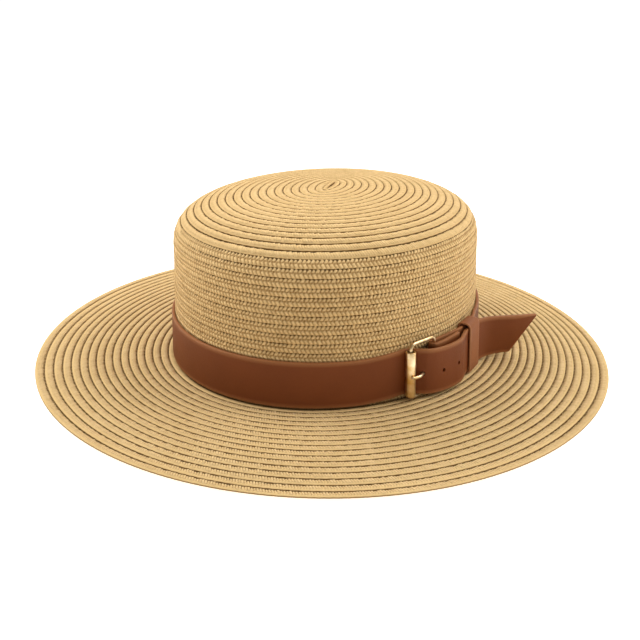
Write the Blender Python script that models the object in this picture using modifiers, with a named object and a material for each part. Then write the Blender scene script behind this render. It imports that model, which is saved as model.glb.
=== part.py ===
"""A sewn straw sun hat with a leather belt and a roller buckle round its crown.

Metres, +Z up. The hat stands on z = 0 with its front toward -Y. The crown, the belt and the buckle are
modelled in the crown's own frame, upright with z = 0 at the foot of the crown, and are parented to an
empty that gives the crown its small lean.
"""

import math

import bmesh
import bpy
from mathutils import Vector

# Straw
CROWN_LONG_HALF = 0.1002
CROWN_SHORT_HALF = 0.0858
CROWN_HEIGHT = 0.0883
SHOULDER_HEIGHT = 0.0566
CROWN_WALL = 0.0020
WALL_SLOPE = 0.030
SHOULDER_ROUND = 2.97
TOP_ROUND = 3.70
TOP_RIDGE_HALF = 0.0090
CROWN_LEAN = 0.0324
CROWN_SHIFT_X = 0.0008
CROWN_SHIFT_Y = -0.0010
BRIM_WIDTH = 0.0765
BRIM_THICKNESS = 0.0020
BRIM_DROP = 0.0033
BRIM_FOOT = 0.0090
BRIM_CURVE = 1.6

# Belt
STRAP_WIDTH = 0.0240
STRAP_THICKNESS = 0.0018
STRAP_LIFT = 0.0006
STRAP_EDGE = 0.0004
FIXED_END_RISE = 0.0003
FOLD_TO_KEEPER = 0.0080
BULGE_OUT = 0.0015
TAIL_LENGTH = 0.0285
TAIL_OUT = 0.0260
TAIL_DROOP = 0.0030
TAIL_LEAN = math.radians(14)
TAIL_CUT = 0.0130
HOLE_RADIUS = 0.0011
HOLE_PITCH = 0.0119
SPARE_HOLES = 2

# Buckle and keeper
ROLLER_ANGLE = math.radians(-51)
ROLLER_RADIUS = 0.00265
ROLLER_WALL = 0.0008
ROLLER_PLAY = 0.0029
FRAME_SPAN = 0.0170
FRAME_SLACK = 0.0025
FRAME_WIRE_RADIUS = 0.0009
FRAME_BEND = 0.0028
PRONG_RADIUS = 0.0009
PRONG_RISE = 0.0006
KEEPER_FROM_HINGE = 0.0330
KEEPER_WIDTH = 0.0120
KEEPER_WALL = 0.0012
KEEPER_SLACK = 0.0012
KEEPER_ROUND = 0.0020
KEEPER_RISE = 0.0004

# Fits
GAP = 0.0003
PRONG_GAP = 0.0002
HOLE_GAP = 0.00035

# Colours, linear
STRAW = (0.60, 0.42, 0.20)
LEATHER = (0.17, 0.055, 0.020)
LIGHT_LEATHER = (0.20, 0.075, 0.035)
BRASS = (0.66, 0.46, 0.18)

# Mesh
AROUND = 64
WALL_STEPS = 4
SHOULDER_ANGLES = (0, 14, 28, 40, 51, 60, 68, 75, 81, 85, 88)
BRIM_SHARES = (0.0, 0.12, 0.3, 0.5, 0.72)
WIRE_SIDES = 2
ARC_SAMPLES = 1440
FOLD_STEPS = 8
BEND_STEPS = 5
ROLLER_WRAP = (0, 24, 46, 64)
WAY_ROUND_STEPS = 54

# The outer strap on its way from the roller to the keeper: shares of that way, of the bulge and of the
# lift that it has beside the buckle.
BULGE = (
    {"along": 0.15, "bulge": 0.36, "lift": 1.00},
    {"along": 0.20, "bulge": 0.70, "lift": 0.90},
    {"along": 0.29, "bulge": 0.93, "lift": 0.65},
    {"along": 0.42, "bulge": 1.00, "lift": 0.35},
    {"along": 0.56, "bulge": 1.00, "lift": 0.15},
    {"along": 0.66, "bulge": 0.99, "lift": 0.15},
    {"along": 0.76, "bulge": 0.86, "lift": 0.30},
    {"along": 0.86, "bulge": 0.42, "lift": 0.45},
)

# The free tail past the keeper: shares of its length along the crown, of its reach outward, of its lean
# and of its droop.
TAIL = (
    {"along": 0.18, "out": 0.04, "lean": 0.15, "droop": 0.00},
    {"along": 0.38, "out": 0.16, "lean": 0.50, "droop": 0.08},
    {"along": 0.58, "out": 0.38, "lean": 0.85, "droop": 0.25},
    {"along": 0.78, "out": 0.66, "lean": 1.00, "droop": 0.55},
    {"along": 1.00, "out": 1.00, "lean": 1.00, "droop": 1.00},
)

# The prong from its loop to its tip: shares of the frame's span and of the rise to its place on the roller.
PRONG = (
    {"along": 0.72, "rise": 0.00},
    {"along": 0.52, "rise": 0.08},
    {"along": 0.41, "rise": 0.25},
    {"along": 0.31, "rise": 0.55},
    {"along": 0.20, "rise": 0.88},
    {"along": 0.10, "rise": 1.00},
    {"along": 0.00, "rise": 1.00},
    {"along": -0.06, "rise": 0.96},
    {"along": -0.11, "rise": 0.87},
)

LAYER = GAP + STRAP_THICKNESS / 2
ROLLER_OUT = GAP + STRAP_THICKNESS + GAP + ROLLER_RADIUS
FOLD_RADIUS = FRAME_WIRE_RADIUS + GAP + STRAP_THICKNESS / 2
HINGE_OUT = LAYER + FOLD_RADIUS
OVER_FOLD = HINGE_OUT + FOLD_RADIUS + STRAP_THICKNESS + GAP
BEHIND_KEEPER = GAP + KEEPER_WALL + LAYER
IN_KEEPER = BEHIND_KEEPER + STRAP_THICKNESS + KEEPER_SLACK
KEEPER_LIFT = KEEPER_WALL + GAP
KEEPER_CENTRE = FRAME_SPAN + KEEPER_FROM_HINGE
KEEPER_START = KEEPER_CENTRE - KEEPER_WIDTH / 2
KEEPER_END = KEEPER_CENTRE + KEEPER_WIDTH / 2
STRAP_MIDDLE = STRAP_LIFT + STRAP_WIDTH / 2
FRAME_LOW = FRAME_WIRE_RADIUS
FRAME_LOW_BEND = FRAME_WIRE_RADIUS + GAP
FRAME_HEIGHT = STRAP_WIDTH + FRAME_SLACK + 2 * FRAME_WIRE_RADIUS
ROLLER_LENGTH = STRAP_WIDTH + FRAME_SLACK - ROLLER_PLAY
BUCKLE_LIFT = FRAME_LOW + FRAME_WIRE_RADIUS + GAP - STRAP_LIFT
FIXED_END_LIFT = BUCKLE_LIFT + FIXED_END_RISE
BRIM_INNER_MIDDLE = BRIM_THICKNESS / 2 + BRIM_DROP
FLAT_FROM = 1 - BRIM_FOOT / BRIM_WIDTH
CROWN_BASE = BRIM_INNER_MIDDLE + BRIM_THICKNESS / 2 + GAP


def clear_scene():
    for thing in list(bpy.data.objects):
        bpy.data.objects.remove(thing, do_unlink=True)


def make_collection(name, helper=False):
    made = bpy.data.collections.new(name)
    bpy.context.scene.collection.children.link(made)
    made.hide_render = helper
    return made


def make_material(name, colour, roughness, metallic=0.0):
    made = bpy.data.materials.new(name)
    made.use_nodes = True
    made.diffuse_color = (*colour, 1)
    shader = made.node_tree.nodes["Principled BSDF"]
    shader.inputs["Base Color"].default_value = (*colour, 1)
    shader.inputs["Roughness"].default_value = roughness
    shader.inputs["Metallic"].default_value = metallic
    return made


def add_object(name, data, collection, parent=None, material=None):
    made = bpy.data.objects.new(name, data)
    collection.objects.link(made)
    made.parent = parent
    if material:
        data.materials.append(material)
    return made


def oval_point(turn, out, height=0.0):
    """A point of the crown's outer wall at this ellipse angle, moved out along the oval's own normal."""
    x_half = CROWN_SHORT_HALF - WALL_SLOPE * height
    y_half = CROWN_LONG_HALF - WALL_SLOPE * height
    normal = Vector((math.cos(turn) / x_half, math.sin(turn) / y_half, 0)).normalized()
    return Vector((x_half * math.cos(turn), y_half * math.sin(turn), height)) + normal * out, normal


class WallTrack:
    """Turns a distance along the crown's wall, from the roller, into a place beside the wall."""

    def __init__(self, height):
        self.height = height
        start = math.atan2(
            math.sin(ROLLER_ANGLE) / CROWN_LONG_HALF, math.cos(ROLLER_ANGLE) / CROWN_SHORT_HALF
        )
        self.turns = [start + 2 * math.pi * i / ARC_SAMPLES for i in range(ARC_SAMPLES + 1)]
        self.lengths = [0.0]
        before = oval_point(self.turns[0], 0, height)[0]
        for turn in self.turns[1:]:
            here = oval_point(turn, 0, height)[0]
            self.lengths.append(self.lengths[-1] + (here - before).length)
            before = here
        self.whole = self.lengths[-1]

    def turn_at(self, distance):
        laps, rest = divmod(distance, self.whole)
        low, high = 0, ARC_SAMPLES
        while high - low > 1:
            middle = (low + high) // 2
            if self.lengths[middle] <= rest:
                low = middle
            else:
                high = middle
        share = (rest - self.lengths[low]) / (self.lengths[high] - self.lengths[low])
        return self.turns[low] + share * (self.turns[high] - self.turns[low]) + laps * 2 * math.pi

    def place(self, distance, out, height=None):
        """A point this far along and out from the wall. At another height it follows the wall's slope."""
        point, normal = oval_point(self.turn_at(distance), out, self.height)
        if height is None:
            return point, normal
        climb = height - self.height
        return point + Vector((0, 0, climb)) - normal * WALL_SLOPE * climb, normal


def smooth_line(points, per_stretch):
    """A smooth line through the points, each a tuple of numbers, with this many steps a stretch."""
    ends = [points[0], *points, points[-1]]
    line = []
    for before, start, end, after in zip(ends, ends[1:], ends[2:], ends[3:]):
        for step in range(per_stretch):
            t = step / per_stretch
            line.append(
                tuple(
                    b
                    + (c - a) * t / 2
                    + (2 * a - 5 * b + 4 * c - d) * t**2 / 2
                    + (3 * b - a - 3 * c + d) * t**3 / 2
                    for a, b, c, d in zip(before, start, end, after)
                )
            )
    return [*line, points[-1]]


def loft(name, rings, cap_start=False, cap_end=False):
    """A mesh of quads between rings of equally many points, with its ends capped or left open."""
    shape = bmesh.new()
    rows = [[shape.verts.new(point) for point in ring] for ring in rings]
    for low, high in zip(rows, rows[1:]):
        for i in range(len(low)):
            j = (i + 1) % len(low)
            shape.faces.new((low[i], low[j], high[j], high[i]))
    if cap_start:
        shape.faces.new(rows[0][::-1])
    if cap_end:
        shape.faces.new(rows[-1])
    made = bpy.data.meshes.new(name)
    shape.to_mesh(made)
    shape.free()
    return made


def add_wall(thing, thickness, offset):
    wall = thing.modifiers.new("wall", "SOLIDIFY")
    wall.thickness = thickness
    wall.offset = offset
    wall.use_even_offset = True


def wire_curve(name, points, radius, cyclic=False):
    curve = bpy.data.curves.new(name, "CURVE")
    curve.dimensions = "3D"
    curve.bevel_depth = radius
    curve.bevel_resolution = WIRE_SIDES
    curve.use_fill_caps = True
    line = curve.splines.new("POLY")
    line.points.add(len(points) - 1)
    for spot, point in zip(line.points, points):
        spot.co = (*point, 1)
    line.use_cyclic_u = cyclic
    return curve


def crown_section(x_half, y_half, height):
    turns = [2 * math.pi * i / AROUND for i in range(AROUND)]
    return [(x_half * math.cos(turn), y_half * math.sin(turn), height) for turn in turns]


def make_crown(collection, seat, material):
    rings = []
    for step in range(WALL_STEPS):
        height = SHOULDER_HEIGHT * step / WALL_STEPS
        inset = WALL_SLOPE * height
        rings.append(crown_section(CROWN_SHORT_HALF - inset, CROWN_LONG_HALF - inset, height))
    x_shoulder = CROWN_SHORT_HALF - WALL_SLOPE * SHOULDER_HEIGHT
    y_shoulder = CROWN_LONG_HALF - WALL_SLOPE * SHOULDER_HEIGHT
    for degrees in SHOULDER_ANGLES:
        share = math.cos(math.radians(degrees)) ** (2 / SHOULDER_ROUND)
        rise = math.sin(math.radians(degrees)) ** (2 / TOP_ROUND)
        rings.append(
            crown_section(
                x_shoulder * share,
                TOP_RIDGE_HALF + (y_shoulder - TOP_RIDGE_HALF) * share,
                SHOULDER_HEIGHT + (CROWN_HEIGHT - SHOULDER_HEIGHT) * rise,
            )
        )
    crown = add_object("crown", loft("crown", rings, cap_end=True), collection, seat, material)
    add_wall(crown, CROWN_WALL, -1)


def brim_ring(share, seat_height):
    """The brim's middle surface at this share of its width, from the crown's wall to its edge."""
    ring = []
    held = 1 - min(1.0, share / FLAT_FROM) ** BRIM_CURVE
    for i in range(AROUND):
        turn = 2 * math.pi * i / AROUND
        point = oval_point(turn, BRIM_WIDTH * share)[0]
        leaning = seat_height + CROWN_LEAN * CROWN_SHORT_HALF * math.cos(turn)
        height = BRIM_THICKNESS / 2 + (leaning - BRIM_THICKNESS / 2) * held
        ring.append((point.x + CROWN_SHIFT_X * (1 - share), point.y + CROWN_SHIFT_Y * (1 - share), height))
    return ring


def make_brim(collection, material):
    inner = []
    for x, y, height in brim_ring(0.0, BRIM_INNER_MIDDLE):
        point = Vector((x - CROWN_SHIFT_X, y - CROWN_SHIFT_Y, 0))
        shrunk = point * (1 - CROWN_WALL / point.length)
        inner.append((shrunk.x + CROWN_SHIFT_X, shrunk.y + CROWN_SHIFT_Y, height))
    rings = [brim_ring(share, BRIM_INNER_MIDDLE) for share in (*BRIM_SHARES, FLAT_FROM, 1.0)]
    rings = [inner, *rings]
    brim = add_object("brim", loft("brim", rings[::-1]), collection, None, material)
    add_wall(brim, BRIM_THICKNESS, 0)


def fixed_end_line():
    """The strap's turned end, its fold round the hinge bar and its way behind the keeper."""
    fold_end = KEEPER_START - FOLD_TO_KEEPER
    fold_top = HINGE_OUT + FOLD_RADIUS
    fold_back = BEHIND_KEEPER + STRAP_THICKNESS + GAP
    length = fold_end - FRAME_SPAN
    fold = [
        (fold_end, fold_back),
        (fold_end - length * 0.35, fold_back + (fold_top - fold_back) * 0.15),
        (fold_end - length * 0.70, fold_back + (fold_top - fold_back) * 0.80),
    ]
    for step in range(FOLD_STEPS + 1):
        turn = math.pi / 2 + math.pi * step / FOLD_STEPS
        fold.append((FRAME_SPAN + FOLD_RADIUS * math.cos(turn), HINGE_OUT + FOLD_RADIUS * math.sin(turn)))
    beside = [
        fold[-1],
        (FRAME_SPAN + length * 0.40, LAYER),
        (FRAME_SPAN + length * 0.80, LAYER + (BEHIND_KEEPER - LAYER) * 0.30),
        (KEEPER_START - KEEPER_WIDTH * 0.15, BEHIND_KEEPER),
        (KEEPER_END + KEEPER_WIDTH * 0.15, BEHIND_KEEPER),
        (KEEPER_END + KEEPER_WIDTH * 1.30, LAYER),
    ]
    return smooth_line(fold[:4], 2)[:-1] + fold[3:] + smooth_line(beside, 4)[1:]


def outer_line(track):
    """The strap's last stretch: under the roller, over the fold, through the keeper and out as a tail."""
    whole = track.whole
    in_lift = KEEPER_LIFT - STRAP_LIFT
    wrap = ROLLER_RADIUS + GAP + STRAP_THICKNESS / 2
    line = [
        (whole - STRAP_WIDTH, LAYER, 0.0, 0.0),
        (whole - STRAP_WIDTH / 2, LAYER, BUCKLE_LIFT * 0.5, 0.0),
        (whole - ROLLER_RADIUS, LAYER, BUCKLE_LIFT, 0.0),
    ]
    for degrees in ROLLER_WRAP:
        turn = math.radians(degrees)
        line.append((whole + wrap * math.sin(turn), ROLLER_OUT - wrap * math.cos(turn), BUCKLE_LIFT, 0.0))
    peak = OVER_FOLD + BULGE_OUT
    for row in BULGE:
        low = ROLLER_OUT if row["along"] < 0.5 else IN_KEEPER
        out = low + (peak - low) * row["bulge"]
        line.append((whole + KEEPER_START * row["along"], out, BUCKLE_LIFT * row["lift"], 0.0))
    line.append((whole + KEEPER_START, IN_KEEPER, in_lift, 0.0))
    line.append((whole + KEEPER_END, IN_KEEPER, in_lift, 0.0))
    for row in TAIL:
        along = whole + KEEPER_END + TAIL_LENGTH * row["along"]
        out = IN_KEEPER + TAIL_OUT * row["out"]
        line.append((along, out, in_lift - TAIL_DROOP * row["droop"], TAIL_LEAN * row["lean"]))
    return smooth_line(line, 3)


def strap_stations(track):
    """The strap's whole way: along the wall, out from it, lift and lean."""
    fixed = [(along, out, FIXED_END_LIFT, 0.0) for along, out in fixed_end_line()]
    outer = outer_line(track)
    start = fixed[-1][0]
    end = outer[0][0]
    way_round = []
    for step in range(1, WAY_ROUND_STEPS):
        share = step / WAY_ROUND_STEPS
        settled = max(0.0, 1 - 2 * share)
        way_round.append((start + (end - start) * share, LAYER, FIXED_END_LIFT * settled, 0.0))
    return [*fixed, *way_round, *outer]


def strap_section(centre, normal, lean, low_cut):
    """A strap's cross-section with its edges taken off, its lower part cut away by this length."""
    up = (Vector((0, 0, 1)) * math.cos(lean) + normal * math.sin(lean)).normalized()
    across = (normal * math.cos(lean) - Vector((0, 0, 1)) * math.sin(lean)).normalized()
    low = -STRAP_WIDTH / 2 + low_cut
    high = STRAP_WIDTH / 2
    side = STRAP_THICKNESS / 2
    edge = STRAP_EDGE
    corners = (
        (-side, low + edge),
        (-side + edge, low),
        (side - edge, low),
        (side, low + edge),
        (side, high - edge),
        (side - edge, high),
        (-side + edge, high),
        (-side, high - edge),
    )
    return [centre + across * out + up * rise for out, rise in reversed(corners)]


def make_band(collection, seat, material, track):
    stations = strap_stations(track)
    centres = [track.place(row[0], row[1])[0] + Vector((0, 0, row[2])) for row in stations]
    lengths = [0.0]
    for before, here in zip(centres, centres[1:]):
        lengths.append(lengths[-1] + (here - before).length)
    rings = []
    for i, (row, centre) in enumerate(zip(stations, centres)):
        ahead = centres[min(i + 1, len(centres) - 1)] - centres[max(i - 1, 0)]
        normal = Vector((ahead.y, -ahead.x, 0)).normalized()
        facing = normal.dot(track.place(row[0], row[1])[1])
        from_tip = lengths[-1] - lengths[i]
        cut = max(0.0, 1 - from_tip / TAIL_CUT) * (STRAP_WIDTH - 4 * STRAP_EDGE)
        lean = row[3] - math.atan(WALL_SLOPE) * facing
        rings.append(strap_section(centre, normal, lean, cut))
    return add_object("band", loft("band", rings, True, True), collection, seat, material)


def prong_points(track, height):
    """The prong's centre line: a loop round the hinge bar, then over the roller."""
    loop = FRAME_WIRE_RADIUS + PRONG_GAP + PRONG_RADIUS
    on_roller = ROLLER_OUT + ROLLER_RADIUS + GAP + PRONG_RADIUS
    line = []
    for degrees in range(-150, 91, 24):
        turn = math.radians(degrees)
        line.append((FRAME_SPAN + loop * math.cos(turn), HINGE_OUT + loop * math.sin(turn)))
    start = HINGE_OUT + loop
    for row in PRONG:
        line.append((FRAME_SPAN * row["along"], start + (on_roller - start) * row["rise"]))
    return [track.place(along, out, height)[0] for along, out in line]


def mesh_of_curve(name, curve_object, collection):
    """A mesh object made from a curve, with its caps welded. The curve is removed."""
    graph = bpy.context.evaluated_depsgraph_get()
    data = bpy.data.meshes.new_from_object(curve_object.evaluated_get(graph))
    shape = bmesh.new()
    shape.from_mesh(data)
    bmesh.ops.remove_doubles(shape, verts=shape.verts, dist=1e-6)
    bmesh.ops.recalc_face_normals(shape, faces=shape.faces)
    shape.to_mesh(data)
    shape.free()
    made = add_object(name, data, collection, curve_object.parent)
    made.matrix_world = curve_object.matrix_world
    bpy.data.objects.remove(curve_object)
    return made


def cut_from(thing, cutter):
    cut = thing.modifiers.new(cutter.name, "BOOLEAN")
    cut.operation = "DIFFERENCE"
    cut.solver = "EXACT"
    cut.object = cutter
    cutter.display_type = "WIRE"
    cutter.hide_render = True


def make_prong(collection, cutters, seat, track, band):
    height = STRAP_MIDDLE + PRONG_RISE
    points = prong_points(track, height)
    prong_brass = make_material("prong_brass", BRASS, 0.35, 1.0)
    add_object("prong", wire_curve("prong", points, PRONG_RADIUS), collection, seat, prong_brass)
    first = points[0] + (points[0] - points[1]).normalized() * HOLE_GAP
    room = wire_curve("prong_room", [first, *points[1:]], PRONG_RADIUS + HOLE_GAP)
    shape = add_object("prong_room_curve", room, cutters, seat)
    bpy.context.view_layer.update()
    cut_from(band, mesh_of_curve("prong_room", shape, cutters))


def make_spare_holes(cutters, seat, track, band):
    """The free holes of the belt, cut through its outer turn only."""
    inner = HINGE_OUT + FOLD_RADIUS + STRAP_THICKNESS / 2 + GAP / 2
    depth = OVER_FOLD + BULGE_OUT + STRAP_THICKNESS * 2 - inner
    for number in range(1, SPARE_HOLES + 1):
        along = FRAME_SPAN * 0.33 + HOLE_PITCH * number
        centre, normal = track.place(along, inner + depth / 2)
        bpy.ops.mesh.primitive_cylinder_add(vertices=12, radius=HOLE_RADIUS, depth=depth)
        cutter = bpy.context.object
        cutter.name = f"spare_hole_{number}"
        for owner in list(cutter.users_collection):
            owner.objects.unlink(cutter)
        cutters.objects.link(cutter)
        cutter.parent = seat
        cutter.location = centre
        cutter.rotation_euler = normal.to_track_quat("Z", "Y").to_euler()
        cut_from(band, cutter)


def frame_outline(span):
    """An upright rectangle with round corners, tighter ones at its foot, as (along, up) points."""
    points = []
    corners = (
        (span - FRAME_LOW_BEND, FRAME_LOW_BEND, FRAME_LOW_BEND, -90),
        (span - FRAME_BEND, FRAME_HEIGHT - FRAME_BEND, FRAME_BEND, 0),
        (FRAME_BEND, FRAME_HEIGHT - FRAME_BEND, FRAME_BEND, 90),
        (FRAME_LOW_BEND, FRAME_LOW_BEND, FRAME_LOW_BEND, 180),
    )
    for along, up, bend, start in corners:
        for step in range(BEND_STEPS + 1):
            turn = math.radians(start + 90 * step / BEND_STEPS)
            points.append((along + bend * math.cos(turn), up + bend * math.sin(turn)))
    return points


def make_buckle(collection, seat, track):
    """The wire frame with its hinge bar and roller bar, and the roller on it."""
    roller_axis, facing = track.place(0, ROLLER_OUT, 0.0)
    hinge_axis = track.place(FRAME_SPAN, HINGE_OUT, 0.0)[0]
    toward = hinge_axis - roller_axis
    up_wall = (Vector((0, 0, 1)) - facing * WALL_SLOPE).normalized()
    points = [
        roller_axis + toward.normalized() * along + up_wall * (FRAME_LOW + up)
        for along, up in frame_outline(toward.length)
    ]
    frame = wire_curve("buckle_frame", points, FRAME_WIRE_RADIUS, cyclic=True)
    frame_brass = make_material("frame_brass", BRASS, 0.35, 1.0)
    add_object("buckle_frame", frame, collection, seat, frame_brass)

    inside = ROLLER_RADIUS - ROLLER_WALL
    foot = FRAME_LOW + FRAME_LOW_BEND
    shape = bmesh.new()
    top = foot + ROLLER_LENGTH
    corners = ((inside, foot), (ROLLER_RADIUS, foot), (ROLLER_RADIUS, top), (inside, top))
    outline = [shape.verts.new((out, 0, up)) for out, up in corners]
    for start, end in zip(outline, [*outline[1:], outline[0]]):
        shape.edges.new((start, end))
    data = bpy.data.meshes.new("roller")
    shape.to_mesh(data)
    shape.free()
    roller_brass = make_material("roller_brass", BRASS, 0.35, 1.0)
    roller = add_object("roller", data, collection, seat, roller_brass)
    roller.location = roller_axis
    roller.rotation_euler = up_wall.to_track_quat("Z", "Y").to_euler()
    turned = roller.modifiers.new("turned", "SCREW")
    turned.steps = 24
    turned.render_steps = 24
    turned.use_merge_vertices = True
    turned.merge_threshold = 0.00001
    turned.use_normal_calculate = True
    turned.use_normal_flip = True


def make_keeper(collection, seat, material, track):
    """The leather loop round both turns of the strap."""
    low = KEEPER_LIFT - GAP
    high = max(STRAP_LIFT + FIXED_END_LIFT, KEEPER_LIFT) + STRAP_WIDTH + GAP + KEEPER_RISE
    near = GAP + KEEPER_WALL
    far = IN_KEEPER + STRAP_THICKNESS / 2 + GAP
    corner = KEEPER_WALL
    section = []
    corners = (
        (far - corner, low + corner, corner, -90),
        (far - KEEPER_ROUND, high - KEEPER_ROUND, KEEPER_ROUND, 0),
        (near + corner, high - corner, corner, 90),
        (near + corner, low + corner, corner, 180),
    )
    for out, up, bend, start in corners:
        for step in range(4):
            turn = math.radians(start + 30 * step)
            section.append((out + bend * math.cos(turn), up + bend * math.sin(turn)))
    rings = []
    for step in range(4):
        along = KEEPER_START + KEEPER_WIDTH * step / 3
        rings.append([track.place(along, out, up)[0] for out, up in section[::-1]])
    keeper = add_object("keeper_loop", loft("keeper_loop", rings), collection, seat, material)
    add_wall(keeper, KEEPER_WALL, 1)


def main():
    clear_scene()
    hat = make_collection("sun_hat")
    cutters = make_collection("cutters", helper=True)
    crown_straw = make_material("crown_straw", STRAW, 0.85)
    brim_straw = make_material("brim_straw", STRAW, 0.85)
    band_leather = make_material("band_leather", LEATHER, 0.50)
    keeper_leather = make_material("keeper_leather", LIGHT_LEATHER, 0.50)

    seat = add_object("crown_seat", None, hat)
    seat.location = (CROWN_SHIFT_X, CROWN_SHIFT_Y, CROWN_BASE)
    seat.rotation_euler = (0, -CROWN_LEAN, 0)

    track = WallTrack(STRAP_MIDDLE)
    make_crown(hat, seat, crown_straw)
    make_brim(hat, brim_straw)
    band = make_band(hat, seat, band_leather, track)
    make_buckle(hat, seat, track)
    make_prong(hat, cutters, seat, track, band)
    make_spare_holes(cutters, seat, track, band)
    make_keeper(hat, seat, keeper_leather, track)


main()
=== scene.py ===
"""The looks of a sewn straw sun hat with a leather belt, on a pale floor in soft light."""

import math

import bmesh
import bpy
import numpy as np
from mathutils import Matrix, Vector


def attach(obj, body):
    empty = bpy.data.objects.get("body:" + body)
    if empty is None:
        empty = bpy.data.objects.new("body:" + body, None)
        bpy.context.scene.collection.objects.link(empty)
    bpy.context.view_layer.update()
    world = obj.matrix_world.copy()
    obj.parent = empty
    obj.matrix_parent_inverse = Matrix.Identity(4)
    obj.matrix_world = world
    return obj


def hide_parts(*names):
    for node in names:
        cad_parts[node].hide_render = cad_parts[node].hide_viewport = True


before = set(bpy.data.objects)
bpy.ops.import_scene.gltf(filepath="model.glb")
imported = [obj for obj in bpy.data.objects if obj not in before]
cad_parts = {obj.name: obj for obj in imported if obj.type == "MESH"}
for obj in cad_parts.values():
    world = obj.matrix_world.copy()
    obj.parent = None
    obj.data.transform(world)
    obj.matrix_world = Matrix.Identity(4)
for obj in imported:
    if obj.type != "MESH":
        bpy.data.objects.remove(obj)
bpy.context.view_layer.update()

# The crown's form, as its solid has it, in metres. Half lengths are at the foot of the crown.
CROWN_SHORT_HALF = 0.0858
CROWN_LONG_HALF = 0.1002
CROWN_HEIGHT = 0.0883
SHOULDER_HEIGHT = 0.0566
WALL_SLOPE = 0.030
SHOULDER_ROUND = 2.97
TOP_ROUND = 3.70
TOP_RIDGE_HALF = 0.0090
CROWN_LEAN = 0.0324
CROWN_PLACE = Vector((0.0008, -0.0010, 0.0056))
STRAW_WALL = 0.0020
FOOT_SEAT = 0.0011

# The brim's form
BRIM_WIDTH = 0.0765
BRIM_RISE = 0.0033
BRIM_FOOT = 0.0090
BRIM_CURVE = 1.6

# The braid: its rows, how they spread, where the first row starts and how far apart its dimples are
CROWN_ROWS = 35
CROWN_SIDE_ROW = 18.6
CROWN_ROW_SPREAD = 0.038
TIP_BACK = 0.0070
TIP_FADE = 0.62
BRIM_ROWS = 17
BRIM_ROW_SPREAD = 0.20
BRIM_SPREAD_POWER = 8
BRAID_STEP = 0.0021
ROW_SHIFT_SHARE = 0.30
DIMPLE = 0.00032
SCALLOP = 0.025
STEPS_PER_LAP = 360
SMALL_TURN = 0.01
SMALL_REACH = 0.0004
SEARCH_STEPS = 26

# The braid's section: shares of the row's width from its upper edge, depths below the wall's face in metres,
# and how much of a dimple each point takes
BRAID_TOP = (
    {"across": -0.27, "lift": -0.00100, "dimple": 1.0},
    {"across": 0.00, "lift": -0.00090, "dimple": 1.0},
    {"across": 0.08, "lift": -0.00068, "dimple": 0.9},
    {"across": 0.20, "lift": -0.00040, "dimple": 0.4},
    {"across": 0.38, "lift": -0.00014, "dimple": 0.0},
    {"across": 0.61, "lift": 0.00005, "dimple": 0.0},
    {"across": 0.82, "lift": 0.00012, "dimple": 0.0},
    {"across": 0.94, "lift": 0.00002, "dimple": -0.2},
    {"across": 1.00, "lift": -0.00026, "dimple": -0.3},
)
BRAID_BACK = (
    {"across": 0.985, "lift": -0.00062, "dimple": 0.0},
    {"across": 0.91, "lift": -0.00085, "dimple": 0.0},
    {"across": 0.35, "lift": -0.00135, "dimple": 0.0},
    {"across": -0.27, "lift": -0.00195, "dimple": 0.0},
)

# The plaited strands: where each starts and ends across a row, how far it slants along it, and their pitch
FLAT_STRANDS = ({"start": 0.19, "end": 0.80, "slant": 0.0011, "shift": 0.0},)
KNIT_STRANDS = (
    {"start": 0.52, "end": 0.07, "slant": 0.0013, "shift": 0.0},
    {"start": 0.55, "end": 0.95, "slant": 0.0011, "shift": 0.5},
)
FLAT_PITCH = 0.0013
KNIT_PITCH = 0.0021
FLAT_STRAND_WIDTH = FLAT_PITCH * 0.70
KNIT_STRAND_WIDTH = KNIT_PITCH * 0.58
STRAND_THICKNESS = 0.00042
STRAND_PROUD = 0.00002
STRAND_UNEVEN = 0.16

# How fine the tones and the grain of straw and leather are
BROAD_STRAW_TONES = 42.0
FINE_BRAID_TONES = 1500.0
FINE_STRAND_TONES = 2200.0
BROAD_LEATHER_TONES = 26.0
LEATHER_GRAIN = 1100.0
LEATHER_PORES = 1500.0
BRASS_PATCHES = 190.0
BRASS_BRUSHING = 2600.0

# Belt, as its solid has it
STRAP_WIDTH = 0.0240
STRAP_THICKNESS = 0.0018
STRAP_LIFT = 0.0006
STRAP_EDGE = 0.0005
FIXED_END_RISE = 0.0003
FOLD_TO_KEEPER = 0.0080
BULGE_OUT = 0.0015
TAIL_LENGTH = 0.0285
TAIL_OUT = 0.0260
TAIL_DROOP = 0.0030
TAIL_LEAN = math.radians(14)
TAIL_CUT = 0.0130
TIP_WIDTH = 0.0016
HOLE_RADIUS = 0.0011
HOLE_PITCH = 0.0119
SPARE_HOLES = 2
FIRST_HOLE_SHARE = 0.33
WRAP_TURNS = (0, 24, 46, 64)

# Buckle and keeper, as their solids have them
ROLLER_ANGLE = math.radians(-51)
ROLLER_RADIUS = 0.00265
ROLLER_WALL = 0.0008
ROLLER_PLAY = 0.0029
FRAME_SPAN = 0.0170
FRAME_SLACK = 0.0025
FRAME_WIRE_RADIUS = 0.0009
FRAME_BEND = 0.0028
PRONG_RADIUS = 0.0009
PRONG_RISE = 0.0006
KEEPER_FROM_HINGE = 0.0330
KEEPER_WIDTH = 0.0120
KEEPER_WALL = 0.0012
KEEPER_SLACK = 0.0012
KEEPER_ROUND = 0.0020
KEEPER_RISE = 0.0004
GAP = 0.0003
PRONG_GAP = 0.0002
HOLE_GAP = 0.00035

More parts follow.
